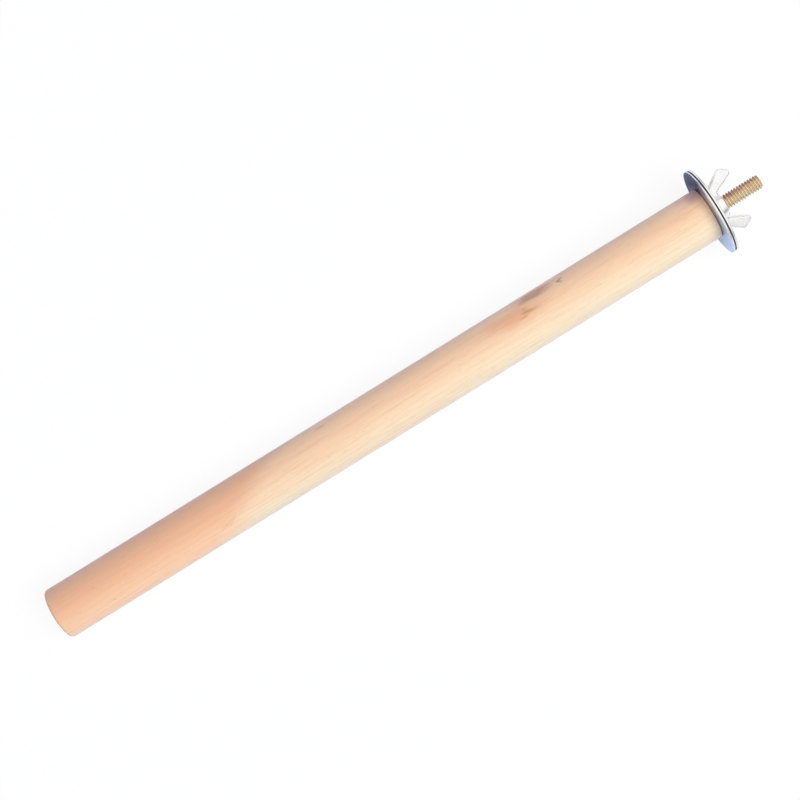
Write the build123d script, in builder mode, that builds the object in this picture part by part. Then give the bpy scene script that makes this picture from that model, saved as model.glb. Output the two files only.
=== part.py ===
from build123d import *
import os
from math import cos, radians, sin, tan

# A bird perch that bolts to the bars of a cage: a round wooden dowel, a hanger bolt
# screwed into its end, two wide washers that grip the bars, and a wing nut.
# Millimetres. The X axis runs along the bolt, away from the dowel, and Z is up.
# The origin is on that axis, on the face of the inner washer that meets the bars.

# Wooden dowel
dowel_diameter = 22.4
dowel_length = 314.0
dowel_edge_radius = 1.2

# Hanger bolt: a machine-thread stud outside, a pointed wood screw inside the dowel
stud_diameter = 6.35
stud_free_length = 17.0
stud_tip_chamfer = 0.5
screw_depth = 26.5
screw_point_length = 8.0
screw_point_diameter = 0.8
screw_bite_clearance = 0.02
pilot_spare_depth = 1.0

# Washers, stamped from sheet
washer_diameter = 38.1
washer_hole_clearance = 0.375
washer_thickness = 1.0
washer_edge_radius = 0.3
washer_hole_edge_radius = 0.15
washer_gap = 0.3

# Wing nut hub: a low skirt, a conical body and a threaded bore
bore_clearance = 0.05
bore_mouth_chamfer = 0.5
hub_height = 5.0
hub_top_wall = 2.0
hub_flare = 1.7
hub_skirt_height = 0.8
hub_base_edge_radius = 0.3
hub_edge_radius = 0.6

# Wing nut wings: splayed, wider and thinner towards their tips
wing_turn = 30.0
wing_foot_rise = 0.6
wing_foot_reach = 2.5
wing_outer_splay = 40.0
wing_inner_splay = 27.0
wing_throat_drop = 0.6
wing_throat_reach = 1.6
wing_rise = 8.8
wing_tip_slant = 5.2
wing_root_thickness = 3.0
wing_tip_thickness = 2.0
wing_foot_round = 1.2
wing_shoulder_round = 1.6
wing_tip_round = 1.4
wing_throat_round = 1.0
wing_edge_round = 0.7
wing_root_fillet = 0.5

# Places along the bolt that follow from the sizes
dowel_face_x = -washer_thickness
outer_washer_x = washer_gap
nut_base_x = outer_washer_x + washer_thickness
stud_tip_x = nut_base_x + hub_height + stud_free_length
screw_end_x = dowel_face_x - screw_depth
screw_taper_x = screw_end_x + screw_point_length
pilot_end_x = screw_end_x - pilot_spare_depth

# Radii that follow from the bolt
stud_radius = stud_diameter / 2
pilot_radius = stud_radius + screw_bite_clearance
pilot_end_radius = screw_point_diameter / 2 + screw_bite_clearance
washer_hole_radius = stud_radius + washer_hole_clearance
bore_radius = stud_radius + bore_clearance
hub_top_radius = bore_radius + hub_top_wall
hub_base_radius = hub_top_radius + hub_flare


# Perch dowel: a round rod with eased ends and a blind pilot hole for the screw
with BuildPart() as perch_dowel:
    with BuildSketch(Plane.YZ.offset(dowel_face_x)):
        Circle(dowel_diameter / 2)
    extrude(amount=-dowel_length)
    fillet(perch_dowel.edges().filter_by(GeomType.CIRCLE), dowel_edge_radius)
    with BuildSketch(Plane.XY):
        with BuildLine():
            Polyline(
                (dowel_face_x, 0),
                (dowel_face_x, pilot_radius),
                (screw_taper_x, pilot_radius),
                (pilot_end_x, pilot_end_radius),
                (pilot_end_x, 0),
                close=True,
            )
        make_face()
    revolve(axis=Axis.X, mode=Mode.SUBTRACT)
perch_dowel.part.label = "perch_dowel"


# Hanger bolt: one turned profile from the screw point to the chamfered stud tip
with BuildPart() as hanger_bolt:
    with BuildSketch(Plane.XY):
        with BuildLine():
            Polyline(
                (screw_end_x, 0),
                (screw_end_x, screw_point_diameter / 2),
                (screw_taper_x, stud_radius),
                (stud_tip_x - stud_tip_chamfer, stud_radius),
                (stud_tip_x, stud_radius - stud_tip_chamfer),
                (stud_tip_x, 0),
                close=True,
            )
        make_face()
    revolve(axis=Axis.X)
hanger_bolt.part.label = "hanger_bolt"


def stamped_washer(face_x):
    """A flat round washer with eased rims, whose dowel-side face is at face_x."""
    with BuildPart() as disc:
        with BuildSketch(Plane.YZ.offset(face_x)):
            Circle(washer_diameter / 2)
            Circle(washer_hole_radius, mode=Mode.SUBTRACT)
        extrude(amount=washer_thickness)
        hole_rims = disc.edges().filter_by(GeomType.CIRCLE).group_by(SortBy.RADIUS)[0]
        fillet(hole_rims, washer_hole_edge_radius)
        outer_rims = disc.edges().filter_by(GeomType.CIRCLE).group_by(SortBy.RADIUS)[-1]
        fillet(outer_rims, washer_edge_radius)
    return disc.part


inner_washer = stamped_washer(dowel_face_x)
inner_washer.label = "inner_washer"
outer_washer = stamped_washer(outer_washer_x)
outer_washer.label = "outer_washer"


# Wing nut: one wing, drawn in a plane turned about the bolt, with x up the bolt and y outwards
turn = radians(wing_turn)
nut_origin = (nut_base_x, 0, 0)
wing_plane = Plane(nut_origin, x_dir=(1, 0, 0), z_dir=(0, -sin(turn), cos(turn)))
plan_plane = Plane(nut_origin, x_dir=(0, cos(turn), sin(turn)), z_dir=(1, 0, 0))
across = Axis(nut_origin, wing_plane.z_dir)
outward = Axis(nut_origin, plan_plane.x_dir)

wing_root_radius = (bore_radius + hub_top_radius) / 2
wing_foot_height = hub_skirt_height + wing_foot_rise
wing_foot_radius = hub_base_radius + wing_foot_reach
wing_throat_height = hub_height - wing_throat_drop
wing_throat_radius = hub_top_radius + wing_throat_reach
wing_tip_height = hub_height + wing_rise
wing_tip_radius = wing_throat_radius + tan(radians(wing_inner_splay)) * (
    wing_tip_height - wing_throat_height
)
wing_shoulder_height = wing_tip_height - wing_tip_slant
wing_shoulder_radius = wing_foot_radius + tan(radians(wing_outer_splay)) * (
    wing_shoulder_height - wing_foot_height
)

with BuildPart() as wing:
    with BuildSketch(wing_plane):
        with BuildLine():
            FilletPolyline(
                (wing_foot_height, wing_root_radius),
                (wing_foot_height, wing_foot_radius),
                (wing_shoulder_height, wing_shoulder_radius),
                (wing_tip_height, wing_tip_radius),
                (wing_throat_height, wing_throat_radius),
                (wing_throat_height, wing_root_radius),
                radius=(
                    0,
                    wing_foot_round,
                    wing_shoulder_round,
                    wing_tip_round,
                    wing_throat_round,
                    0,
                ),
                close=True,
            )
        make_face()
    extrude(amount=wing_root_thickness, both=True)
    with BuildSketch(plan_plane):
        with BuildLine():
            Polyline(
                (wing_root_radius, -wing_root_thickness / 2),
                (wing_shoulder_radius, -wing_tip_thickness / 2),
                (wing_shoulder_radius, wing_tip_thickness / 2),
                (wing_root_radius, wing_root_thickness / 2),
                close=True,
            )
        make_face()
    extrude(amount=wing_tip_height, mode=Mode.INTERSECT)
    broad_faces = wing.faces().sort_by(across)
    outlines = (broad_faces[:1] + broad_faces[-1:]).edges().sort_by(outward)
    root_edge_count = 2
    fillet(outlines[root_edge_count:], wing_edge_round)


# Wing nut: the hub, both wings blended into it, and the bore with its countersunk mouths
with BuildPart() as wing_nut:
    with BuildSketch(Plane.XY):
        with BuildLine():
            FilletPolyline(
                (nut_base_x, 0),
                (nut_base_x, hub_base_radius),
                (nut_base_x + hub_skirt_height, hub_base_radius),
                (nut_base_x + hub_height, hub_top_radius),
                (nut_base_x + hub_height, 0),
                radius=(0, hub_base_edge_radius, hub_edge_radius, hub_edge_radius, 0),
                close=True,
            )
        make_face()
    revolve(axis=Axis.X)
    for half_turn in (0, 180):
        add(wing.part.rotate(Axis.X, half_turn))
        fillet(wing_nut.edges(Select.NEW), wing_root_fillet)
    with BuildSketch(plan_plane):
        Circle(bore_radius)
    extrude(amount=hub_height, mode=Mode.SUBTRACT)
    bore_mouths = wing_nut.edges(Select.LAST).filter_by(GeomType.CIRCLE)
    chamfer(bore_mouths, bore_mouth_chamfer)
wing_nut.part.label = "wing_nut"


os.makedirs("parts", exist_ok=True)
export_step(perch_dowel.part, "parts/perch_dowel.step")
export_step(hanger_bolt.part, "parts/hanger_bolt.step")
export_step(inner_washer, "parts/inner_washer.step")
export_step(outer_washer, "parts/outer_washer.step")
export_step(wing_nut.part, "parts/wing_nut.step")
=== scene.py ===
"""Looks of a wooden bird perch that bolts to the bars of a cage.

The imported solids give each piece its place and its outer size. The classes below model the pieces anew
where the solids are plain, and hold the sizes of what they add: the dowel's pilot hole, the bolt's two
real threads, the rolled rims of the stamped washers and the thread that is tapped through the wing nut.
Lengths are in metres, in the frame of the solids: X along the bolt, away from the dowel, and Z up. Angles
that are held in fields are in degrees.
Finishes place their patterns in millimetres. There, a span is where a smooth step starts and ends, and a
share, a roughness and a height are what a pattern adds to the colour, the roughness and the relief.
"""

import logging
import math
from abc import ABC, abstractmethod
from collections.abc import Iterable, Iterator
from contextlib import contextmanager
from dataclasses import dataclass
from enum import Enum

import bmesh
import bpy
from bpy.types import Material, Object
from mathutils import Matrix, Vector


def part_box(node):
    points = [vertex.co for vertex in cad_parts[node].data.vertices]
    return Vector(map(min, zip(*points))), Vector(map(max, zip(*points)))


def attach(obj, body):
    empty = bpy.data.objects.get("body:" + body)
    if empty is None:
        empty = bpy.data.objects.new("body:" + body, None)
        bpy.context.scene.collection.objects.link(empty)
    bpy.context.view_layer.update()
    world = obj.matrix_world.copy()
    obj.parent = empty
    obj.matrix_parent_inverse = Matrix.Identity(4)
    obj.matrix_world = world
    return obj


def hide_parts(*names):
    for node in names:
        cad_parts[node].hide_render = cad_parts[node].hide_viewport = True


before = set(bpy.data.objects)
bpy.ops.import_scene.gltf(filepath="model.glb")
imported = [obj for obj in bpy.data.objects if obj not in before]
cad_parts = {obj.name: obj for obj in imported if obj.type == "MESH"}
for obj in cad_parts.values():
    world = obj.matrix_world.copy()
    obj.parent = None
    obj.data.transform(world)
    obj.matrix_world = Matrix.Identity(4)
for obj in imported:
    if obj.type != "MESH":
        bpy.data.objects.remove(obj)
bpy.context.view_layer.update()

log = logging.getLogger("bird_perch")

Colour = tuple[float, float, float]
Scale = tuple[float, float, float]
Span = tuple[float, float]

MM = 0.001
STUD_PITCH = 1.27 * MM
CUT_SLACK = 0.00001 * MM
MERGE_GAP = 0.00001 * MM
SEAM_GAP = 0.001 * MM
RIM_SLACK = 0.02 * MM
SQUARE_TO_AXIS = 0.999
ROUND_PROFILE = 0.5
NOISE_MIDDLE = 0.5


class Body(Enum):
    """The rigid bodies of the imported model."""

    ROD = "perch_rod"
    INNER_WASHER = "inner_washer"
    OUTER_WASHER = "outer_washer"
    NUT = "wing_nut"


class Slot(Enum):
    """The finishes that the record names."""

    WOOD = "dowel_wood"
    BOLT = "bolt_yellow_zinc"
    WASHER = "washer_zinc"
    NUT = "nut_zinc"


class Cut(Enum):
    """What a Boolean modifier does with the tool."""

    JOIN = "UNION"
    REMOVE = "DIFFERENCE"
    KEEP_COMMON = "INTERSECT"


class Blend(Enum):
    """How a second colour goes over a first one."""

    MIX = "MIX"
    MULTIPLY = "MULTIPLY"


class Side(Enum):
    """The two ways along X that a face can look, towards the dowel's free end or towards the nut."""

    DOWEL = -1
    NUT = 1


class Wire:
    """One output of a shader node. Arithmetic on it adds Math nodes to the same tree."""

    def __init__(self, tree: "NodeTree", socket: bpy.types.NodeSocket) -> None:
        """Keeps the socket and the tree that it belongs to."""
        self.tree = tree
        self.socket = socket

    def math(self, operation: str, *terms: "Wire | float") -> "Wire":
        """Adds one Math node.

        Args:
            operation: the Math node's operation.
            terms: its inputs, in order.

        Returns:
            The node's result.
        """
        return self.tree.add("ShaderNodeMath", {"operation": operation}, dict(enumerate(terms)))

    def __add__(self, other: "Wire | float") -> "Wire":
        """self + other"""
        return self.math("ADD", self, other)

    def __radd__(self, other: float) -> "Wire":
        """other + self"""
        return self.math("ADD", other, self)

    def __sub__(self, other: "Wire | float") -> "Wire":
        """self - other"""
        return self.math("SUBTRACT", self, other)

    def __rsub__(self, other: float) -> "Wire":
        """other - self"""
        return self.math("SUBTRACT", other, self)

    def __mul__(self, other: "Wire | float") -> "Wire":
        """self * other"""
        return self.math("MULTIPLY", self, other)

    def __rmul__(self, other: float) -> "Wire":
        """other * self"""
        return self.math("MULTIPLY", other, self)

    def __truediv__(self, other: "Wire | float") -> "Wire":
        """self / other"""
        return self.math("DIVIDE", self, other)

    def __rtruediv__(self, other: float) -> "Wire":
        """other / self"""
        return self.math("DIVIDE", other, self)

    def __pow__(self, other: "Wire | float") -> "Wire":
        """self ** other"""
        return self.math("POWER", self, other)

    def ripple(self) -> "Wire":
        """A wave between 0 and 1 over an angle in radians."""
        return 0.5 + 0.5 * self.math("SINE", self)

    def root(self) -> "Wire":
        """The square root."""
        return self.math("SQRT", self)

    def size(self) -> "Wire":
        """The number without its sign."""
        return self.math("ABSOLUTE", self)

    def larger(self, other: "Wire | float") -> "Wire":
        """The larger of the two."""
        return self.math("MAXIMUM", self, other)

    def step(self, low: float, high: float) -> "Wire":
        """A smooth step from 0 at low to 1 at high. With low above high it falls instead of rising."""
        span = {"Value": self, "From Min": low, "From Max": high}
        return self.tree.add("ShaderNodeMapRange", {"interpolation_type": "SMOOTHSTEP"}, span)


@dataclass(frozen=True)
class Waves:
    """A cloudy pattern: waves per millimetre on each axis, octaves, and the strength of the fine ones."""

    per_mm: Scale
    octaves: float
    fine_share: float = 0.5


class NodeTree:
    """A shader node tree that is filled from Python expressions."""

    def __init__(self, tree: bpy.types.ShaderNodeTree) -> None:
        """Empties the tree."""
        self.tree = tree
        self.tree.nodes.clear()

    def add(
        self,
        kind: str,
        settings: dict[str, object] | None = None,
        inputs: dict[str | int, object] | None = None,
        output: str | int = 0,
    ) -> Wire:
        """Adds one node.

        Args:
            kind: the node's Blender type.
            settings: its options, which are set first.
            inputs: values or wires for its input sockets, by name or number.
            output: the output socket to return.

        Returns:
            A wire from the chosen output, or from none if the node has no output.
        """
        node = self.tree.nodes.new(kind)
        for name, value in (settings or {}).items():
            setattr(node, name, value)
        for name, value in (inputs or {}).items():
            if isinstance(value, Wire):
                self.tree.links.new(value.socket, node.inputs[name])
            else:
                node.inputs[name].default_value = value
        return Wire(self, node.outputs[output] if node.outputs else None)

    def place(self, scale: Scale = (1, 1, 1)) -> Wire:
        """The point on the piece in millimetres.

        Args:
            scale: what each axis is multiplied by.

        Returns:
            The scaled point.
        """
        coordinates = self.add("ShaderNodeTexCoord", output="Object")
        in_millimetres = tuple(factor / MM for factor in scale)
        return self.add("ShaderNodeMapping", inputs={"Vector": coordinates, "Scale": in_millimetres})

    def axes(self) -> tuple[Wire, Wire, Wire]:
        """The point on the piece as three numbers in millimetres."""
        split = self.add("ShaderNodeSeparateXYZ", inputs={"Vector": self.place()})
        return tuple(Wire(self, split.socket.node.outputs[letter]) for letter in "XYZ")

    def noise(self, waves: Waves) -> Wire:
        """Cloudy noise from about 0.3 to 0.7.

        Args:
            waves: the pattern's size and grain.

        Returns:
            The noise.
        """
        inputs = {
            "Vector": self.place(waves.per_mm),
            "Scale": 1.0,
            "Detail": waves.octaves,
            "Roughness": waves.fine_share,
        }
        return self.add("ShaderNodeTexNoise", {"normalize": True}, inputs, "Fac")

    def cells(self, per_mm: Scale) -> Wire:
        """The distance to the nearest of scattered points, with so many per millimetre on each axis."""
        inputs = {"Vector": self.place(per_mm), "Scale": 1.0}
        return self.add("ShaderNodeTexVoronoi", {"feature": "F1"}, inputs, "Distance")

    def blend(
        self, share: Wire, first: Wire | Colour, second: Wire | Colour, mode: Blend = Blend.MIX
    ) -> Wire:
        """Mixes two colours.

        Args:
            share: how much of the second colour, from 0 to 1.
            first: the colour below.
            second: the colour that goes over it.
            mode: how it goes over.

        Returns:
            The mixed colour.
        """
        options = {"data_type": "RGBA", "blend_type": mode.value, "clamp_factor": True}
        colours = [value if isinstance(value, Wire) else (*value, 1.0) for value in (first, second)]
        # Inputs 6 and 7 and output 2 are the colour sockets, which share their names with others
        return self.add("ShaderNodeMix", options, {0: share, 6: colours[0], 7: colours[1]}, 2)

    def relief(self, height: Wire, depth: float, strength: float = 0.5) -> Wire:
        """A bumped normal, where a height of 1 stands for so many metres of depth."""
        inputs = {"Height": height, "Distance": depth, "Strength": strength}
        return self.add("ShaderNodeBump", inputs=inputs)

    def surface(self, inputs: dict[str, object]) -> None:
        """Ends the tree in one Principled shader with these inputs."""
        shader = self.add("ShaderNodeBsdfPrincipled", inputs=inputs)
        self.add("ShaderNodeOutputMaterial", inputs={"Surface": shader})


def new_material(name: str) -> tuple[Material, NodeTree]:
    """Makes an empty material.

    Args:
        name: the material's name.

    Returns:
        The material and its node tree.
    """
    material = bpy.data.materials.new(name)
    material.use_nodes = True
    return material, NodeTree(material.node_tree)


@dataclass(frozen=True)
class WoodMark:
    """A soft-edged oval mark, laid out on the dowel's unrolled surface in millimetres and degrees.

    It lies along and around the dowel, is turned by its slant, and is full from its middle out to its core,
    which is a share of the way to its rim.
    """

    along: float
    around: float
    half_length: float
    half_width: float
    slant: float
    core: float
    strength: float
    colour: Colour

    def distance(self, along: Wire, around: Wire, radius: float) -> Wire:
        """How far a point is from the mark's middle, where 1 is the rim.

        Args:
            along: the point's place along the dowel in millimetres.
            around: its angle about the dowel's axis in radians.
            radius: the dowel's radius in millimetres.

        Returns:
            The distance.
        """
        turn = math.radians(self.slant)
        length = along - self.along
        width = (around - math.radians(self.around)) * radius
        with_grain = (length * math.cos(turn) + width * math.sin(turn)) / self.half_length
        cross_grain = (width * math.cos(turn) - length * math.sin(turn)) / self.half_width
        return (with_grain * with_grain + cross_grain * cross_grain).root()


@dataclass(frozen=True)
class WoodColours:
    """The colours of the wood's parts."""

    cream: Colour = (0.89, 0.605, 0.40)
    pale: Colour = (0.885, 0.765, 0.55)
    peach: Colour = (0.83, 0.475, 0.295)
    pale_peach: Colour = (0.95, 0.635, 0.41)
    late_wood: Colour = (0.74, 0.43, 0.26)
    pore: Colour = (0.50, 0.29, 0.18)
    cut_end: Colour = (0.72, 0.45, 0.27)
    ray: Colour = (0.88, 0.62, 0.42)
    fuzz: Colour = (0.58, 0.70, 1.0)


@dataclass(frozen=True)
class GrowthRings:
    """The wood's rings, about a pith that is outside the dowel. They swell round the knot."""

    pith: tuple[float, float] = (-19.0, -14.0)
    spacing: float = 2.1
    wander: float = 8.0
    wander_waves: Waves = Waves((0.008, 0.03, 0.03), 2.0)
    knot_swell: float = 3.0
    knot_falloff: float = 0.2
    late_rise: Span = (0.30, 0.90)
    late_fall: Span = (1.0, 0.92)

    def late_wood(self, tree: NodeTree, y: Wire, z: Wire, knot: Wire) -> Wire:
        """How far a point is late wood, the dark band at the outside of each ring.

        Args:
            tree: the tree to add to.
            y: the point's place across the dowel.
            z: its height.
            knot: its distance from the middle of the knot, where 1 is the knot's rim.

        Returns:
            The share, from 0 to 1.
        """
        wander = (tree.noise(self.wander_waves) - NOISE_MIDDLE) * self.wander
        from_pith = ((y - self.pith[0]) ** 2.0 + (z - self.pith[1]) ** 2.0).root()
        swell = self.knot_swell / (1.0 + knot * knot * self.knot_falloff)
        rings = (from_pith + wander + swell) / self.spacing
        through_ring = rings.math("FRACT", rings)
        return through_ring.step(*self.late_rise) * through_ring.step(*self.late_fall)

    def bearing(self, y: Wire, z: Wire) -> Wire:
        """The direction of a point from the pith, in radians."""
        return y.math("ARCTAN2", z - self.pith[1], y - self.pith[0])


@dataclass(frozen=True)
class CutEnd:
    """The sawn ends of the wood: bands of late wood, open pores, fine specks and pale rays."""

    depth: float = 0.9
    skin: float = 0.1
    share: float = 0.9
    roughness: float = 0.15
    late_share: float = 0.55
    ray_waves: float = 260.0
    ray_waver: float = 9.0
    ray_waver_waves: Waves = Waves((0.0, 0.4, 0.4), 2.0)
    ray_sharpness: float = 6.0
    ray_share: float = 0.35
    pore_cells: Scale = (0.0, 2.0, 2.0)
    pore_span: Span = (0.30, 0.16)
    pore_share: float = 0.6
    speck_waves: Waves = Waves((0.0, 3.0, 3.0), 3.0)
    speck_span: Span = (0.45, 0.75)
    speck_share: float = 0.5
    sanding_waves: Waves = Waves((0.0, 0.5, 7.0), 2.0)

    def cover(self, x: Wire, ends: Span) -> Wire:
        """How far a point is end grain.

        Args:
            x: the point's place along the dowel.
            ends: the dowel's two end faces along X.

        Returns:
            The share, from 0 on the side of the dowel to 1 on its ends.
        """
        free_end = x.step(ends[0] + self.depth, ends[0] + self.skin)
        bolt_end = x.step(ends[1] - self.depth, ends[1] - self.skin)
        return free_end + bolt_end

    def colour(self, tree: NodeTree, bearing: Wire, late: Wire, colours: WoodColours) -> Wire:
        """The colour of the ends.

        Args:
            tree: the tree to add to.
            bearing: the direction of the point from the pith, in radians.
            late: how far the point is late wood, from 0 to 1.
            colours: the wood's colours.

        Returns:
            The colour.
        """
        waver = tree.noise(self.ray_waver_waves) * self.ray_waver
        rays = (bearing * self.ray_waves + waver).ripple() ** self.ray_sharpness
        pores = tree.cells(self.pore_cells).step(*self.pore_span) * (1.0 - late)
        specks = tree.noise(self.speck_waves).step(*self.speck_span)
        late_share = late * self.late_share
        colour = tree.blend(late_share, colours.cut_end, colours.late_wood, Blend.MULTIPLY)
        colour = tree.blend(rays * self.ray_share, colour, colours.ray)
        colour = tree.blend(specks * self.speck_share, colour, colours.pore)
        return tree.blend(pores * self.pore_share, colour, colours.pore)


@dataclass(frozen=True)
class SandedWood:
    """Pale, sanded and untreated wood: one side creamy, one end peach, with a small knot."""

    colours: WoodColours = WoodColours()
    rings: GrowthRings = GrowthRings()
    end: CutEnd = CutEnd()

    # Broad colouring
    pale_side: Span = (5.0, -10.0)
    pale_peach_side: Span = (3.0, -11.0)
    peach_end: float = -221.0
    peach_slant: float = 1.4
    peach_blur: float = 13.0
    peach_wander: float = 30.0
    patch_waves: Waves = Waves((0.014, 0.06, 0.06), 3.0)
    patch_start: float = 0.45
    patch_share: float = 1.4

    # Grain
    late_share: float = 0.12
    fibre_waves: Waves = Waves((0.05, 1.6, 1.6), 5.0, 0.62)
    fibre_share: float = 2.0
    fibre_height: float = 0.6
    fibre_roughness: float = 0.18
    fine_fibre_waves: Waves = Waves((0.25, 6.0, 6.0), 2.0)
    fine_fibre_height: float = 0.4
    pore_cells: Scale = (0.22, 2.4, 2.4)
    pore_span: Span = (0.20, 0.06)
    pore_share: float = 0.34
    pore_depth: float = 0.5
    fleck_cells: Scale = (0.10, 1.1, 1.1)
    fleck_span: Span = (0.24, 0.06)
    fleck_share: float = 0.22
    fleck_depth: float = 0.2

    # Marks: along, around, half length, half width, slant, core, strength and colour
    halo: WoodMark = WoodMark(-91.5, 28.0, 20.0, 6.0, -6.0, 0.1, 0.85, (0.80, 0.43, 0.26))
    # Painted shade next to the washer, towards +Y by the bolt end; the other marks are the knot's stains
    # and specks
    painted_washer_shade: WoodMark = WoodMark(-4.0, 55.0, 8.0, 8.0, 0.0, 0.0, 0.85, (0.55, 0.325, 0.33))
    blotch: WoodMark = WoodMark(-79.5, 57.0, 13.0, 4.0, 2.0, 0.2, 0.85, (0.52, 0.26, 0.17))
    streak: WoodMark = WoodMark(-84.3, 25.5, 6.4, 1.5, -14.0, 0.0, 0.75, (0.54, 0.26, 0.10))
    pit: WoodMark = WoodMark(-67.0, 48.0, 2.2, 1.3, 8.0, 0.1, 0.8, (0.34, 0.19, 0.12))
    specks: tuple[WoodMark, ...] = (
        WoodMark(-87.8, 17.4, 3.2, 1.1, -8.0, 0.0, 0.6, (0.62, 0.29, 0.15)),
        WoodMark(-182.2, 51.8, 2.0, 1.0, 4.0, 0.0, 0.4, (0.45, 0.26, 0.18)),
        WoodMark(-234.4, -27.8, 4.0, 1.0, 6.0, 0.0, 0.4, (0.62, 0.33, 0.19)),
        WoodMark(-290.8, -34.9, 2.0, 1.1, 10.0, 0.0, 0.45, (0.50, 0.29, 0.18)),
        WoodMark(-293.2, 8.5, 0.8, 2.0, 12.0, 0.0, 0.4, (0.55, 0.32, 0.20)),
    )
    ragged_along: float = 12.0
    ragged_along_waves: Waves = Waves((0.15, 0.4, 0.4), 3.0)
    ragged_around: float = 0.5
    ragged_around_waves: Waves = Waves((0.06, 0.5, 0.5), 3.0)
    mark_base: float = 0.4
    mark_fibres: float = 1.2
    pit_span: Span = (1.0, 0.2)
    pit_depth: float = 3.0

    # Surface
    roughness: float = 0.50
    relief_depth: float = 0.06 * MM
    relief_strength: float = 0.6
    refraction: float = 1.45
    sheen: float = 0.4
    sheen_roughness: float = 0.5

    def mark_distances(self, tree: NodeTree, x: Wire, around: Wire, radius: float) -> dict[WoodMark, Wire]:
        """How far a point is from each mark, with ragged outlines.

        Args:
            tree: the tree to add to.
            x: the point's place along the dowel.
            around: its angle about the dowel's axis in radians.
            radius: the dowel's radius.

        Returns:
            The distance for each mark, from the lowest mark to the one on top.
        """
        ragged_x = x + (tree.noise(self.ragged_along_waves) - NOISE_MIDDLE) * self.ragged_along
        ragged_turn = around + (tree.noise(self.ragged_around_waves) - NOISE_MIDDLE) * self.ragged_around
        marks = (self.halo, self.painted_washer_shade, self.blotch, self.streak, self.pit, *self.specks)
        return {mark: mark.distance(ragged_x, ragged_turn, radius) for mark in marks}

    def broad_colour(self, tree: NodeTree, x: Wire, y: Wire) -> Wire:
        """The wood's colour without its grain: cream on one side, pale on the other, and a peach end.

        Args:
            tree: the tree to add to.
            x: the point's place along the dowel.
            y: its place across the dowel.

        Returns:
            The colour.
        """
        patches = tree.noise(self.patch_waves)
        slanted = x - self.peach_slant * y + (patches - NOISE_MIDDLE) * self.peach_wander
        peach_share = slanted.step(self.peach_end + self.peach_blur, self.peach_end - self.peach_blur)
        peach = tree.blend(y.step(*self.pale_peach_side), self.colours.peach, self.colours.pale_peach)
        colour = tree.blend(y.step(*self.pale_side), self.colours.cream, self.colours.pale)
        colour = tree.blend((patches - self.patch_start) * self.patch_share, colour, self.colours.cream)
        return tree.blend(peach_share, colour, peach)

    def material(self, ends: Span, radius: float) -> Material:
        """Makes the wood.

        Args:
            ends: the dowel's two end faces along X, in millimetres.
            radius: the dowel's radius in millimetres.

        Returns:
            The material.
        """
        material, tree = new_material("sanded_wood")
        x, y, z = tree.axes()
        distances = self.mark_distances(tree, x, y.math("ARCTAN2", y, z), radius)
        late = self.rings.late_wood(tree, y, z, distances[self.streak])
        fibres = tree.noise(self.fibre_waves)
        fine_fibres = tree.noise(self.fine_fibre_waves)
        pores = tree.cells(self.pore_cells).step(*self.pore_span)
        flecks = tree.cells(self.fleck_cells).step(*self.fleck_span)

        colour = self.broad_colour(tree, x, y)
        colour = tree.blend(late * self.late_share, colour, self.colours.late_wood)
        dark_fibres = (fibres - NOISE_MIDDLE).larger(0.0)
        colour = tree.blend(dark_fibres * self.fibre_share, colour, self.colours.late_wood)
        colour = tree.blend(pores * self.pore_share + flecks * self.fleck_share, colour, self.colours.pore)
        streaky = fibres * self.mark_fibres + self.mark_base
        for mark, distance in distances.items():
            share = distance.step(1.0, mark.core) * mark.strength * streaky
            colour = tree.blend(share, colour, mark.colour)
        end_grain = self.end.cover(x, ends)
        end_colour = self.end.colour(tree, self.rings.bearing(y, z), late, self.colours)
        colour = tree.blend(end_grain * self.end.share, colour, end_colour)

        height = fibres * self.fibre_height + fine_fibres * self.fine_fibre_height
        height = height - pores * self.pore_depth - flecks * self.fleck_depth
        height = height - distances[self.pit].step(*self.pit_span) * self.pit_depth
        height = height + tree.noise(self.end.sanding_waves) * end_grain
        roughness = self.roughness + fibres * self.fibre_roughness
        tree.surface(
            {
                "Base Color": colour,
                "Roughness": roughness + end_grain * self.end.roughness,
                "Normal": tree.relief(height, self.relief_depth, self.relief_strength),
                "IOR": self.refraction,
                "Sheen Weight": self.sheen,
                "Sheen Roughness": self.sheen_roughness,
                "Sheen Tint": (*self.colours.fuzz, 1.0),
            }
        )
        return material


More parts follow.
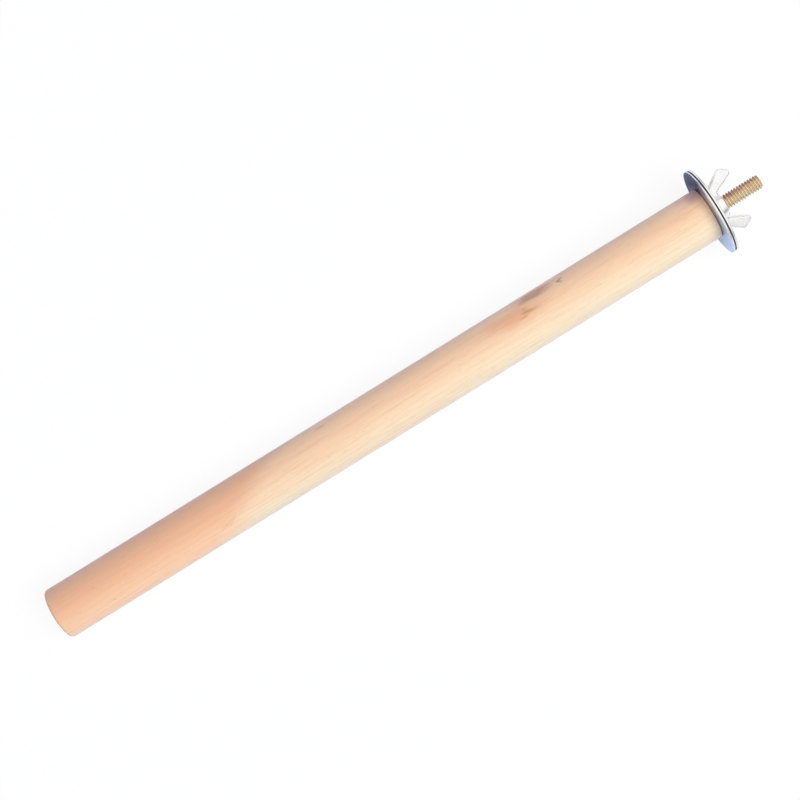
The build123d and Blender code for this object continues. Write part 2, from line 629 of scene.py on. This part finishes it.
@dataclass(frozen=True)
class YellowZinc:
    """Yellow passivated zinc plating on a rolled thread.

    Its rosy and greenish tints are laid by side as painted light: rosy and darker towards +Y as painted
    shade, and greenish and lighter towards -Y as painted highlight.
    """

    gold: Colour = (0.96, 0.81, 0.53)
    rose_stain_and_painted_shade: Colour = (0.72, 0.49, 0.40)
    green_painted_highlight: Colour = (0.97, 0.91, 0.66)
    groove_dirt_and_painted_shade: Colour = (0.42, 0.26, 0.19)
    edge: Colour = (0.35, 0.25, 0.21)
    tint_waves: Waves = Waves((0.35, 0.35, 0.35), 2.0)
    tint_wander: float = 2.5
    painted_shade_rose_side: Span = (0.05, 0.85)
    green_painted_highlight_side: Span = (-0.1, -0.9)
    stain_waves: Waves = Waves((0.9, 0.9, 0.9), 3.0)
    stain_span: Span = (0.55, 0.75)
    stain_share: float = 0.4
    groove_share: float = 0.45
    groove_roughness: float = 0.2
    grain_waves: Waves = Waves((6.0, 6.0, 6.0), 2.0)
    grain_roughness: float = 0.16
    roughness: float = 0.26
    metal_share: float = 0.75
    relief_depth: float = 0.01 * MM

    def material(self, crest_radius: float, root_radius: float) -> Material:
        """Makes the plating.

        Args:
            crest_radius: the thread's outer radius in millimetres.
            root_radius: the radius at the bottom of its grooves in millimetres.

        Returns:
            The material.
        """
        material, tree = new_material("yellow_zinc")
        _, y, z = tree.axes()
        groove_dirt_and_painted_shade = (y * y + z * z).root().step(crest_radius, root_radius)
        tints = tree.noise(self.tint_waves) - NOISE_MIDDLE
        stains = tree.noise(self.stain_waves).step(*self.stain_span)
        grain = tree.noise(self.grain_waves)
        side = y / crest_radius + tints * self.tint_wander
        # Painted shade and highlight: rosier and darker towards +Y, greener and lighter towards -Y
        colour = tree.blend(side.step(*self.painted_shade_rose_side), self.gold, self.rose_stain_and_painted_shade)
        colour = tree.blend(side.step(*self.green_painted_highlight_side), colour, self.green_painted_highlight)
        colour = tree.blend(stains * self.stain_share, colour, self.rose_stain_and_painted_shade)
        # Darker in the thread's grooves: dirt and painted shade
        colour = tree.blend(groove_dirt_and_painted_shade * self.groove_share, colour, self.groove_dirt_and_painted_shade)
        tree.surface(
            {
                "Base Color": colour,
                "Metallic": self.metal_share,
                "Roughness": self.roughness + grain * self.grain_roughness + groove_dirt_and_painted_shade * self.groove_roughness,
                "Specular Tint": (*self.edge, 1.0),
                "Normal": tree.relief(grain, self.relief_depth),
            }
        )
        return material


@dataclass(frozen=True)
class StampedZinc:
    """Bright zinc plating on stamped sheet, under a passivation film whose tint is painted reflection.

    On the face away from the cage bars the film is pale blue towards -Y, and dark violet towards +Y as
    painted shade. Painted shade darkens the rim next to the bars, where the two washers meet.
    """

    painted_reflection: float
    edge: Colour
    steel: Colour = (0.87, 0.85, 0.84)
    painted_reflection_blue: Colour = (0.56, 0.67, 0.88)
    painted_shade_violet: Colour = (0.088, 0.060, 0.12)
    painted_gap_shade: Colour = (0.012, 0.010, 0.010)
    cloud_waves: Waves = Waves((0.12, 0.12, 0.12), 3.0)
    cloud_wander: float = 0.8
    painted_reflection_blue_side: Span = (0.15, -0.35)
    painted_reflection_blue_share: float = 0.8
    painted_shade_violet_side: Span = (0.15, 0.80)
    painted_reflection_span: Span = (0.60, 0.85)
    painted_gap_shade_span: Span = (0.20, 0.06)
    painted_gap_shade_rim: Span = (0.65, 0.35)
    painted_gap_shade_roughness: float = 0.4
    stain_waves: Waves = Waves((0.5, 0.5, 0.5), 3.0)
    stain_span: Span = (0.45, 0.70)
    stain_share: float = 0.4
    stain_roughness: float = 0.16
    grain_waves: Waves = Waves((4.0, 4.0, 4.0), 3.0)
    grain_height: float = 0.5
    scratch_waves: Waves = Waves((0.4, 0.4, 9.0), 2.0)
    scratch_height: float = 0.5
    scratch_roughness: float = 0.06
    roughness: float = 0.22
    relief_depth: float = 0.01 * MM

    def material(self, radius: float, clamp_x: float) -> Material:
        """Makes the plating.

        Args:
            radius: the washer's radius in millimetres.
            clamp_x: the face that clamps the cage bars, along X, in millimetres.

        Returns:
            The material.
        """
        material, tree = new_material("stamped_zinc")
        x, y, z = tree.axes()
        clouds = tree.noise(self.cloud_waves) - NOISE_MIDDLE
        stains = tree.noise(self.stain_waves)
        grain = tree.noise(self.grain_waves)
        scratches = tree.noise(self.scratch_waves)
        side = y / radius + clouds * self.cloud_wander
        depth = (x - clamp_x).size()
        # Painted reflection on the face away from the clamping face, laid as the passivation film's tint
        painted_reflection = depth.step(*self.painted_reflection_span) * self.painted_reflection
        # Painted shade: near black on the rim next to the clamping face, in the gap where the washers meet
        near_rim = (y * y + z * z).root().step(*(radius - width for width in self.painted_gap_shade_rim))
        painted_gap_shade = near_rim * depth.step(*self.painted_gap_shade_span)

        # Painted reflection: pale blue towards -Y on that face
        colour = tree.blend(painted_reflection * side.step(*self.painted_reflection_blue_side) * self.painted_reflection_blue_share, self.steel, self.painted_reflection_blue)
        colour = tree.blend(stains.step(*self.stain_span) * self.stain_share, colour, self.steel)
        # Painted shade: dark violet towards +Y on that face
        colour = tree.blend(side.step(*self.painted_shade_violet_side) * painted_reflection, colour, self.painted_shade_violet)
        colour = tree.blend(painted_gap_shade, colour, self.painted_gap_shade)
        roughness = self.roughness + stains * self.stain_roughness + scratches * self.scratch_roughness
        height = grain * self.grain_height + scratches * self.scratch_height
        tree.surface(
            {
                "Base Color": colour,
                "Metallic": 1.0,
                "Roughness": roughness + painted_gap_shade * self.painted_gap_shade_roughness,
                "Specular Tint": (*self.edge, 1.0),
                "Normal": tree.relief(height, self.relief_depth),
            }
        )
        return material


@dataclass(frozen=True)
class CastZinc:
    """Bright satin zinc on a cast body with a slightly grainy skin."""

    bright: Colour = (0.90, 0.895, 0.885)
    dull: Colour = (0.84, 0.825, 0.82)
    cloud_waves: Waves = Waves((0.3, 0.3, 0.3), 3.0)
    cloud_roughness: float = 0.12
    dull_span: Span = (0.45, 0.70)
    dull_share: float = 0.6
    grain_waves: Waves = Waves((3.0, 3.0, 3.0), 3.0)
    grain_roughness: float = 0.06
    roughness: float = 0.17
    relief_depth: float = 0.03 * MM

    def material(self) -> Material:
        """Makes the plating.

        Returns:
            The material.
        """
        material, tree = new_material("cast_zinc")
        clouds = tree.noise(self.cloud_waves)
        grain = tree.noise(self.grain_waves)
        dullness = clouds.step(*self.dull_span) * self.dull_share
        tree.surface(
            {
                "Base Color": tree.blend(dullness, self.bright, self.dull),
                "Metallic": 1.0,
                "Roughness": self.roughness + clouds * self.cloud_roughness + grain * self.grain_roughness,
                "Normal": tree.relief(grain, self.relief_depth),
            }
        )
        return material


def deselect_all() -> None:
    """Leaves nothing selected, so that the next operator acts on new work alone."""
    bpy.ops.object.select_all(action="DESELECT")


def make_active(piece: Object) -> None:
    """Selects one piece alone, so that the next operator acts on it.

    Args:
        piece: the piece to work on.
    """
    deselect_all()
    piece.select_set(True)
    bpy.context.view_layer.objects.active = piece


@contextmanager
def edit_mode(piece: Object) -> Iterator[None]:
    """Opens one piece in edit mode with nothing selected, and closes it again.

    Args:
        piece: the piece to work on.
    """
    make_active(piece)
    bpy.ops.object.mode_set(mode="EDIT")
    bpy.ops.mesh.select_all(action="DESELECT")
    yield
    bpy.ops.object.mode_set(mode="OBJECT")


def select_ends(piece: Object, sides: Iterable[Side]) -> None:
    """Selects flat end faces of the open piece, and nothing else.

    Args:
        piece: the piece, open in edit mode.
        sides: the sides that the faces look to.
    """
    bpy.ops.mesh.select_mode(type="FACE")
    bpy.ops.mesh.select_all(action="DESELECT")
    for face in bmesh.from_edit_mesh(piece.data).faces:
        face.select_set(any(face.normal.x * side.value > SQUARE_TO_AXIS for side in sides))
    bmesh.update_edit_mesh(piece.data)


def select_rims(piece: Object, places: Iterable[float], radius: float) -> None:
    """Selects the edges of round rims of the open piece, and nothing else.

    Args:
        piece: the piece, open in edit mode.
        places: where the rims are along X.
        radius: their radius.
    """
    bpy.ops.mesh.select_mode(type="EDGE")
    bpy.ops.mesh.select_all(action="DESELECT")
    for edge in bmesh.from_edit_mesh(piece.data).edges:
        corners = [corner.co for corner in edge.verts]
        at_radius = all(abs(math.hypot(corner.y, corner.z) - radius) < RIM_SLACK for corner in corners)
        at_place = any(all(abs(corner.x - x) < RIM_SLACK for corner in corners) for x in places)
        edge.select_set(at_radius and at_place)
    bmesh.update_edit_mesh(piece.data)


def add_round_bar(name: str, start: float, end: float, radius: float, sides: int) -> Object:
    """A round bar on the bolt's axis.

    Args:
        name: the new object's name.
        start: where it starts along X.
        end: where it ends along X.
        radius: its radius.
        sides: how many sides it has.

    Returns:
        The bar, with its place in its mesh.
    """
    deselect_all()
    bpy.ops.mesh.primitive_cylinder_add(
        vertices=sides,
        radius=radius,
        depth=end - start,
        location=((start + end) / 2, 0, 0),
        rotation=(0, math.pi / 2, 0),
    )
    bar = bpy.context.active_object
    bar.name = name
    bpy.ops.object.transform_apply(location=True, rotation=True, scale=True)
    return bar


def cone_end(bar: Object, side: Side, cone_start: float, end: float, share: float) -> None:
    """Draws one end of a round bar in to a cone.

    Args:
        bar: the bar.
        side: the side that the end looks to.
        cone_start: where the cone starts along X.
        end: where the bar ends along X.
        share: the radius at the end, as a share of the bar's.
    """
    with edit_mode(bar):
        bpy.ops.mesh.select_all(action="SELECT")
        bpy.ops.mesh.bisect(plane_co=(cone_start, 0, 0), plane_no=(1, 0, 0), threshold=CUT_SLACK)
        select_ends(bar, (side,))
        bpy.ops.transform.resize(value=(1, share, share), center_override=(end, 0, 0))


def boolean(piece: Object, tool: Object, cut: Cut) -> None:
    """Applies a tool to a piece and throws the tool away.

    Args:
        piece: the piece that changes.
        tool: the other closed mesh.
        cut: what the tool does.
    """
    make_active(piece)
    bpy.ops.object.modifier_add(type="BOOLEAN")
    modifier = piece.modifiers[-1]
    modifier.operation = cut.value
    modifier.solver = "EXACT"
    modifier.object = tool
    bpy.ops.object.modifier_apply(modifier=modifier.name)
    bpy.data.objects.remove(tool)


def finish_mesh(piece: Object, smooth_angle: float) -> None:
    """Merges doubles, turns all faces outwards and smooths the shallow edges.

    Args:
        piece: the piece to finish.
        smooth_angle: edges flatter than this, in degrees, are shaded smooth.
    """
    with edit_mode(piece):
        bpy.ops.mesh.select_all(action="SELECT")
        bpy.ops.mesh.remove_doubles(threshold=MERGE_GAP)
        bpy.ops.mesh.delete_loose()
        bpy.ops.mesh.select_all(action="SELECT")
        bpy.ops.mesh.normals_make_consistent(inside=False)
    make_active(piece)
    bpy.ops.object.shade_smooth_by_angle(angle=math.radians(smooth_angle))


@dataclass(frozen=True)
class Thread:
    """A screw thread with straight flanks, measured from the bolt's axis."""

    pitch: float
    crest_radius: float
    root_radius: float
    crest_flat: float
    flank_angle: float = 30.0
    steps: int = 64

    def profile(self) -> list[tuple[float, float]]:
        """The outline of one pitch, with the crest in the middle.

        Returns:
            Places along the axis, each with its radius.
        """
        flank = (self.crest_radius - self.root_radius) * math.tan(math.radians(self.flank_angle))
        crest_start = (self.pitch - self.crest_flat) / 2
        crest_end = crest_start + self.crest_flat
        return [
            (0.0, self.root_radius),
            (crest_start - flank, self.root_radius),
            (crest_start, self.crest_radius),
            (crest_end, self.crest_radius),
            (crest_end + flank, self.root_radius),
            (self.pitch, self.root_radius),
        ]

    def bar(self, name: str, start: float, end: float) -> Object:
        """A threaded bar with flat ends, with crests that pass the same places whatever its ends are.

        Args:
            name: the new object's name.
            start: where it starts along X.
            end: where it ends along X.

        Returns:
            The closed bar.
        """
        # One spare turn at each end, which the cuts take off
        first = math.floor(start / self.pitch) - 1
        turns = math.ceil(end / self.pitch) + 1 - first
        bar = self.draw_profile(name, first * self.pitch)
        bpy.ops.object.modifier_add(type="SCREW")
        sweep = bar.modifiers[-1]
        sweep.axis = "X"
        sweep.angle = 2 * math.pi
        sweep.screw_offset = self.pitch
        sweep.iterations = turns
        sweep.steps = self.steps
        sweep.render_steps = self.steps
        bpy.ops.object.modifier_apply(modifier=sweep.name)
        with edit_mode(bar):
            bpy.ops.mesh.select_all(action="SELECT")
            bpy.ops.mesh.remove_doubles(threshold=SEAM_GAP)
            for x, outwards in ((start, -1), (end, 1)):
                bpy.ops.mesh.select_all(action="SELECT")
                bpy.ops.mesh.bisect(
                    plane_co=(x, 0, 0),
                    plane_no=(outwards, 0, 0),
                    use_fill=True,
                    clear_outer=True,
                    threshold=CUT_SLACK,
                )
            bpy.ops.mesh.select_all(action="SELECT")
            bpy.ops.mesh.normals_make_consistent(inside=False)
        return bar

    def draw_profile(self, name: str, start: float) -> Object:
        """Draws the outline of one pitch as a line of edges above the axis.

        Args:
            name: the new object's name.
            start: where the line starts along X.

        Returns:
            The line, as the active object.
        """
        points = [Vector((start + x, 0, radius)) for x, radius in self.profile()]
        deselect_all()
        bpy.ops.mesh.primitive_plane_add(size=self.pitch, location=points[0])
        line = bpy.context.active_object
        line.name = name
        bpy.ops.object.transform_apply(location=True, rotation=True, scale=True)
        with edit_mode(line):
            bpy.ops.mesh.select_mode(type="VERT")
            bpy.ops.mesh.select_all(action="SELECT")
            bpy.ops.mesh.merge(type="CENTER")
            for here, there in zip(points, points[1:]):
                bpy.ops.mesh.extrude_vertices_move(TRANSFORM_OT_translate={"value": there - here})
        return line


@dataclass(kw_only=True)
class Piece(ABC):
    """A piece of the perch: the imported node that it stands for, its body and its finish in the record."""

    node: str
    body: Body
    slot: Slot

    @abstractmethod
    def build(self) -> Object:
        """Models the piece in its place."""

    @abstractmethod
    def finish(self) -> Material:
        """Makes the piece's material."""

    def dress(self) -> None:
        """Builds the piece and gives it its material, its body and the node that it replaces."""
        material = self.finish()
        piece = self.build()
        piece.data.materials.clear()
        piece.data.materials.append(material)
        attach(piece, self.body.value)
        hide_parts(self.node)
        faces = len(piece.data.polygons)
        log.info("%s: %d faces, on %s, for %s", piece.name, faces, self.body.value, self.node)


@dataclass(kw_only=True)
class PerchDowel(Piece):
    """The round wooden rod, with eased ends and a pilot hole for the bolt."""

    node: str = "perch_dowel"
    body: Body = Body.ROD
    slot: Slot = Slot.WOOD
    wood: SandedWood = SandedWood()
    sides: int = 128
    smooth_angle: float = 40.0
    edge_radius: float = 1.2 * MM
    edge_segments: int = 6
    pilot_radius: float = 3.195 * MM
    pilot_depth: float = 18.5 * MM
    pilot_taper: float = 9.0 * MM
    pilot_end_share: float = 0.13

    def finish(self) -> Material:
        """Makes the wood, with its cut ends at the dowel's own ends."""
        low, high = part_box(self.node)
        return self.wood.material((low.x / MM, high.x / MM), high.y / MM)

    def build(self) -> Object:
        """Models the dowel from a round bar.

        Returns:
            The dowel.
        """
        low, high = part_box(self.node)
        radius = high.y
        dowel = add_round_bar("sanded_dowel", low.x, high.x, radius, self.sides)
        with edit_mode(dowel):
            select_rims(dowel, (low.x, high.x), radius)
            bpy.ops.mesh.bevel(offset=self.edge_radius, segments=self.edge_segments, profile=ROUND_PROFILE)
            self.drill_pilot(dowel, high.x, radius)
        finish_mesh(dowel, self.smooth_angle)
        return dowel

    def drill_pilot(self, dowel: Object, end: float, radius: float) -> None:
        """Drills the hole that the screw half of the bolt fills.

        Args:
            dowel: the dowel, open in edit mode.
            end: its bolt end along X.
            radius: its radius.
        """
        select_ends(dowel, (Side.NUT,))
        bpy.ops.mesh.inset(thickness=radius - self.edge_radius - self.pilot_radius)
        bpy.ops.mesh.extrude_region_move(TRANSFORM_OT_translate={"value": (-self.pilot_depth, 0, 0)})
        bpy.ops.mesh.extrude_region_move(TRANSFORM_OT_translate={"value": (-self.pilot_taper, 0, 0)})
        bpy.ops.transform.resize(
            value=(1, self.pilot_end_share, self.pilot_end_share),
            center_override=(end - self.pilot_depth - self.pilot_taper, 0, 0),
        )


@dataclass(kw_only=True)
class HangerBolt(Piece):
    """The headless bolt: a machine thread outside the dowel, a plain waist and a wood screw inside it."""

    node: str = "hanger_bolt"
    body: Body = Body.ROD
    slot: Slot = Slot.BOLT
    plating: YellowZinc = YellowZinc()
    machine: Thread = Thread(
        pitch=STUD_PITCH,
        crest_radius=3.175 * MM,
        root_radius=2.48 * MM,
        crest_flat=0.18 * MM,
    )
    wood: Thread = Thread(
        pitch=2.54 * MM,
        crest_radius=3.1 * MM,
        root_radius=2.2 * MM,
        crest_flat=0.2 * MM,
        steps=48,
    )
    machine_start: float = -3.0 * MM
    wood_end: float = -6.0 * MM
    waist_radius: float = 2.1 * MM
    overlap: float = 0.4 * MM
    tip_chamfer: float = 0.5 * MM
    point_length: float = 8.0 * MM
    point_radius: float = 0.4 * MM
    blank_spare: float = 0.5 * MM
    cut_spare: float = 1.0 * MM
    sides: int = 96
    smooth_angle: float = 35.0

    def finish(self) -> Material:
        """Makes the plating, with its dark grooves at the machine thread's depth."""
        return self.plating.material(self.machine.crest_radius / MM, self.machine.root_radius / MM)

    def build(self) -> Object:
        """Models the bolt as two threaded bars, each cut to a turned blank, and a waist that joins them.

        Returns:
            The bolt.
        """
        low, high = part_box(self.node)
        bolt = self.machine.bar("threaded_bolt", self.machine_start, high.x + self.cut_spare)
        boolean(bolt, self.machine_blank(high.x), Cut.KEEP_COMMON)
        screw = self.wood.bar("wood_screw", low.x - self.cut_spare, self.wood_end)
        boolean(screw, self.wood_blank(low.x), Cut.KEEP_COMMON)
        waist_ends = (self.wood_end - self.overlap, self.machine_start + self.overlap)
        waist = add_round_bar("waist", *waist_ends, self.waist_radius, self.sides)
        boolean(bolt, waist, Cut.JOIN)
        boolean(bolt, screw, Cut.JOIN)
        finish_mesh(bolt, self.smooth_angle)
        return bolt

    def machine_blank(self, tip: float) -> Object:
        """A bar wider than the thread, whose end is coned so that it chamfers the thread's tip.

        Args:
            tip: where the bolt ends along X.

        Returns:
            The blank.
        """
        radius = self.machine.crest_radius + self.blank_spare
        tip_share = (self.machine.crest_radius - self.tip_chamfer) / radius
        cone_start = tip - (self.tip_chamfer + self.blank_spare)
        start = self.machine_start - self.cut_spare
        blank = add_round_bar("machine_blank", start, tip, radius, self.sides)
        cone_end(blank, Side.NUT, cone_start, tip, tip_share)
        return blank

    def wood_blank(self, point: float) -> Object:
        """A bar wider than the screw, whose end is drawn to a point.

        Args:
            point: where the screw's point is along X.

        Returns:
            The blank.
        """
        radius = self.wood.crest_radius + self.blank_spare
        point_share = self.point_radius / radius
        slope = (self.machine.crest_radius - self.point_radius) / self.point_length
        cone_start = point + (radius - self.point_radius) / slope
        blank = add_round_bar("wood_blank", point, self.wood_end + self.cut_spare, radius, self.sides)
        cone_end(blank, Side.DOWEL, cone_start, point, point_share)
        return blank


@dataclass(kw_only=True)
class StampedWasher(Piece):
    """A wide flat washer, rolled over at the rim on the side that the punch entered, next to the bars."""

    slot: Slot = Slot.WASHER
    plating: StampedZinc
    punch_side: Side
    hole_radius: float = 3.55 * MM
    roll_radius: float = 0.45 * MM
    burr_radius: float = 0.16 * MM
    rim_segments: int = 5
    hole_edge_radius: float = 0.12 * MM
    hole_edge_segments: int = 3
    sides: int = 160
    smooth_angle: float = 40.0

    def faces(self) -> tuple[float, float]:
        """The washer's face on the side that the punch entered and its other face, along X."""
        low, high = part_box(self.node)
        return (high.x, low.x) if self.punch_side is Side.NUT else (low.x, high.x)

    def finish(self) -> Material:
        """Makes the plating, with its painted reflection on the face away from the cage bars."""
        return self.plating.material(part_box(self.node)[1].y / MM, self.faces()[0] / MM)

    def build(self) -> Object:
        """Models the washer from a thin round bar.

        Returns:
            The washer.
        """
        low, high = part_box(self.node)
        radius = high.y
        rolled, burred = self.faces()
        washer = add_round_bar(f"{self.node}_disc", low.x, high.x, radius, self.sides)
        with edit_mode(washer):
            select_ends(washer, Side)
            bpy.ops.mesh.inset(thickness=radius - self.hole_radius)
            bpy.ops.mesh.bridge_edge_loops()
            for places, rim_radius, rounding, segments in (
                ((rolled,), radius, self.roll_radius, self.rim_segments),
                ((burred,), radius, self.burr_radius, self.rim_segments),
                ((low.x, high.x), self.hole_radius, self.hole_edge_radius, self.hole_edge_segments),
            ):
                select_rims(washer, places, rim_radius)
                bpy.ops.mesh.bevel(offset=rounding, segments=segments, profile=ROUND_PROFILE)
        finish_mesh(washer, self.smooth_angle)
        return washer


@dataclass(kw_only=True)
class WingNut(Piece):
    """The cast nut with two splayed wings, tapped to run on the bolt's machine thread."""

    node: str = "wing_nut"
    body: Body = Body.NUT
    slot: Slot = Slot.NUT
    plating: CastZinc = CastZinc()
    tap: Thread = Thread(
        pitch=STUD_PITCH,
        crest_radius=3.3 * MM,
        root_radius=2.62 * MM,
        crest_flat=0.11 * MM,
    )
    tap_spare: float = 1.0 * MM
    bore_radius: float = 3.225 * MM
    plug_spare: float = 0.25 * MM
    mouth: float = 0.5 * MM
    hub_height: float = 5.0 * MM
    sides: int = 64
    triangle_gap: float = 0.0005 * MM
    smooth_angle: float = 32.0

    def finish(self) -> Material:
        """Makes the plating."""
        return self.plating.material()

    def build(self) -> Object:
        """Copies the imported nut, fills its plain bore and taps a real thread through it.

        Returns:
            The nut.
        """
        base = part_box(self.node)[0].x
        top = base + self.hub_height
        nut = self.copy_node()
        plug_radius = self.bore_radius + self.plug_spare
        plug = add_round_bar("bore_plug", base + self.mouth, top - self.mouth, plug_radius, self.sides)
        boolean(nut, plug, Cut.JOIN)
        tap = self.tap.bar("thread_tap", base - self.tap_spare, top + self.tap_spare)
        boolean(nut, tap, Cut.REMOVE)
        finish_mesh(nut, self.smooth_angle)
        return nut

    def copy_node(self) -> Object:
        """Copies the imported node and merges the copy's loose triangles.

        Returns:
            The copy.
        """
        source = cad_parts[self.node]
        nut = bpy.data.objects.new("tapped_wing_nut", source.data.copy())
        bpy.context.scene.collection.objects.link(nut)
        nut.hide_render = False
        with edit_mode(nut):
            bpy.ops.mesh.select_all(action="SELECT")
            bpy.ops.mesh.customdata_custom_splitnormals_clear()
            bpy.ops.mesh.remove_doubles(threshold=self.triangle_gap)
        return nut


@dataclass
class Studio:
    """The floor, the world, the lamp and the camera at the photograph's view."""

    floor_size: float = 4.0
    floor_colour: Colour = (0.90, 0.92, 0.95)
    floor_seen_white: float = 0.90
    floor_mirrored_white: float = 0.05
    sky_colour: Colour = (0.77, 0.82, 1.0)
    sky_strength: float = 0.37
    wall_glow: float = 0.27
    ceiling_glow: float = 1.10
    ceiling_edge: Span = (0.12, 0.45)
    key_direction: tuple[float, float, float] = (0.30, -0.22, 0.93)
    key_distance: float = 3.0
    key_size: float = 2.0
    key_power: float = 87.6
    key_colour: Colour = (1.0, 0.96, 0.89)
    lens: float = 84.96
    sensor_width: float = 36.0
    distance: float = 0.7754
    slope: float = 31.73
    tilt: float = 1.7
    aim_x: float = -0.1484
    aim_right: float = 0.63 * MM
    aim_down: float = 1.01 * MM

    def build(self) -> None:
        """Sets up everything that is not part of the perch."""
        self.add_floor()
        self.light_world()
        self.add_key_lamp()
        self.add_camera()
        bpy.context.scene.view_settings.view_transform = "Standard"

    def seen(self, tree: NodeTree, directly: float, mirrored: Wire | float) -> Wire:
        """How much of the plain white a ray sees.

        Args:
            tree: the tree to add to.
            directly: the share for the camera.
            mirrored: the share for reflections and for what is seen through a piece.

        Returns:
            The share for the ray.
        """
        camera = tree.add("ShaderNodeLightPath", output="Is Camera Ray")
        outputs = camera.socket.node.outputs
        glossy = Wire(tree, outputs["Is Glossy Ray"])
        transmission = Wire(tree, outputs["Is Transmission Ray"])
        return camera * directly + (glossy + transmission) * mirrored

    def add_floor(self) -> None:
        """Lays a white sheet under the perch, which rests on a washer's rim and the dowel's free end."""
        washer_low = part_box("inner_washer")[0]
        dowel_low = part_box("perch_dowel")[0]
        fall = math.atan2(dowel_low.z - washer_low.z, washer_low.x - dowel_low.x)
        deselect_all()
        bpy.ops.mesh.primitive_plane_add(
            size=self.floor_size, location=(washer_low.x, 0, washer_low.z), rotation=(0, fall, 0)
        )
        floor = bpy.context.active_object
        floor.name = "white_sheet"
        material, tree = new_material("white_sheet")
        lit = tree.add("ShaderNodeBsdfDiffuse", inputs={"Color": (*self.floor_colour, 1.0)})
        white = tree.add("ShaderNodeEmission", inputs={"Strength": 1.0})
        share = self.seen(tree, self.floor_seen_white, self.floor_mirrored_white)
        mixed = tree.add("ShaderNodeMixShader", inputs={0: share, 1: lit, 2: white})
        tree.add("ShaderNodeOutputMaterial", inputs={"Surface": mixed})
        floor.data.materials.append(material)

    def light_world(self) -> None:
        """Lights the room softly, with white behind the perch and a bright ceiling that metal mirrors."""
        world = bpy.data.worlds.new("soft_room")
        world.use_nodes = True
        bpy.context.scene.world = world
        tree = NodeTree(world.node_tree)
        soft = {"Color": (*self.sky_colour, 1.0), "Strength": self.sky_strength}
        fill = tree.add("ShaderNodeBackground", inputs=soft)
        direction = tree.add("ShaderNodeTexCoord", output="Generated")
        height = tree.add("ShaderNodeSeparateXYZ", inputs={"Vector": direction}, output="Z")
        glow = self.wall_glow + (self.ceiling_glow - self.wall_glow) * height.step(*self.ceiling_edge)
        strength = self.seen(tree, 1.0, glow)
        white = tree.add("ShaderNodeBackground", inputs={"Color": (1, 1, 1, 1), "Strength": strength})
        mixed = tree.add("ShaderNodeMixShader", inputs={0: self.seen(tree, 1.0, 1.0), 1: fill, 2: white})
        tree.add("ShaderNodeOutputWorld", inputs={"Surface": mixed})

    def add_key_lamp(self) -> None:
        """Hangs one large soft lamp high up, beyond the bolt end. Metal mirrors the ceiling instead."""
        direction = Vector(self.key_direction).normalized()
        place = Vector((self.aim_x, 0, 0)) + direction * self.key_distance
        turn = direction.to_track_quat("Z", "Y").to_euler()
        deselect_all()
        bpy.ops.object.light_add(type="AREA", location=place, rotation=turn)
        bpy.context.active_object.visible_glossy = False
        lamp = bpy.context.active_object.data
        lamp.shape = "SQUARE"
        lamp.size = self.key_size
        lamp.energy = self.key_power
        lamp.color = self.key_colour

    def add_camera(self) -> None:
        """Puts the camera above the perch, turned so that the perch slopes up to the right."""
        deselect_all()
        bpy.ops.object.camera_add()
        camera = bpy.context.active_object
        camera.rotation_mode = "ZYX"
        camera.rotation_euler = (0, math.radians(self.tilt), -math.radians(self.slope))
        turn = camera.rotation_euler.to_matrix()
        aim = Vector((self.aim_x, 0, 0))
        camera.location = aim - turn @ Vector((self.aim_right, -self.aim_down, -self.distance))
        camera.data.lens = self.lens
        camera.data.sensor_width = self.sensor_width
        bpy.context.scene.camera = camera


def main() -> None:
    """Builds and dresses the perch, piece by piece, and sets up the studio."""
    logging.basicConfig(level=logging.INFO, format="%(name)s: %(message)s")
    inner_washer = StampedWasher(
        node="inner_washer",
        body=Body.INNER_WASHER,
        punch_side=Side.NUT,
        plating=StampedZinc(painted_reflection=0.95, edge=(0.66, 0.77, 1.0)),
    )
    outer_washer = StampedWasher(
        node="outer_washer",
        body=Body.OUTER_WASHER,
        punch_side=Side.DOWEL,
        plating=StampedZinc(painted_reflection=0.10, edge=(0.90, 0.92, 0.95)),
    )
    for piece in (PerchDowel(), HangerBolt(), inner_washer, outer_washer, WingNut()):
        piece.dress()
    Studio().build()


if __name__ == "__main__":
    main()
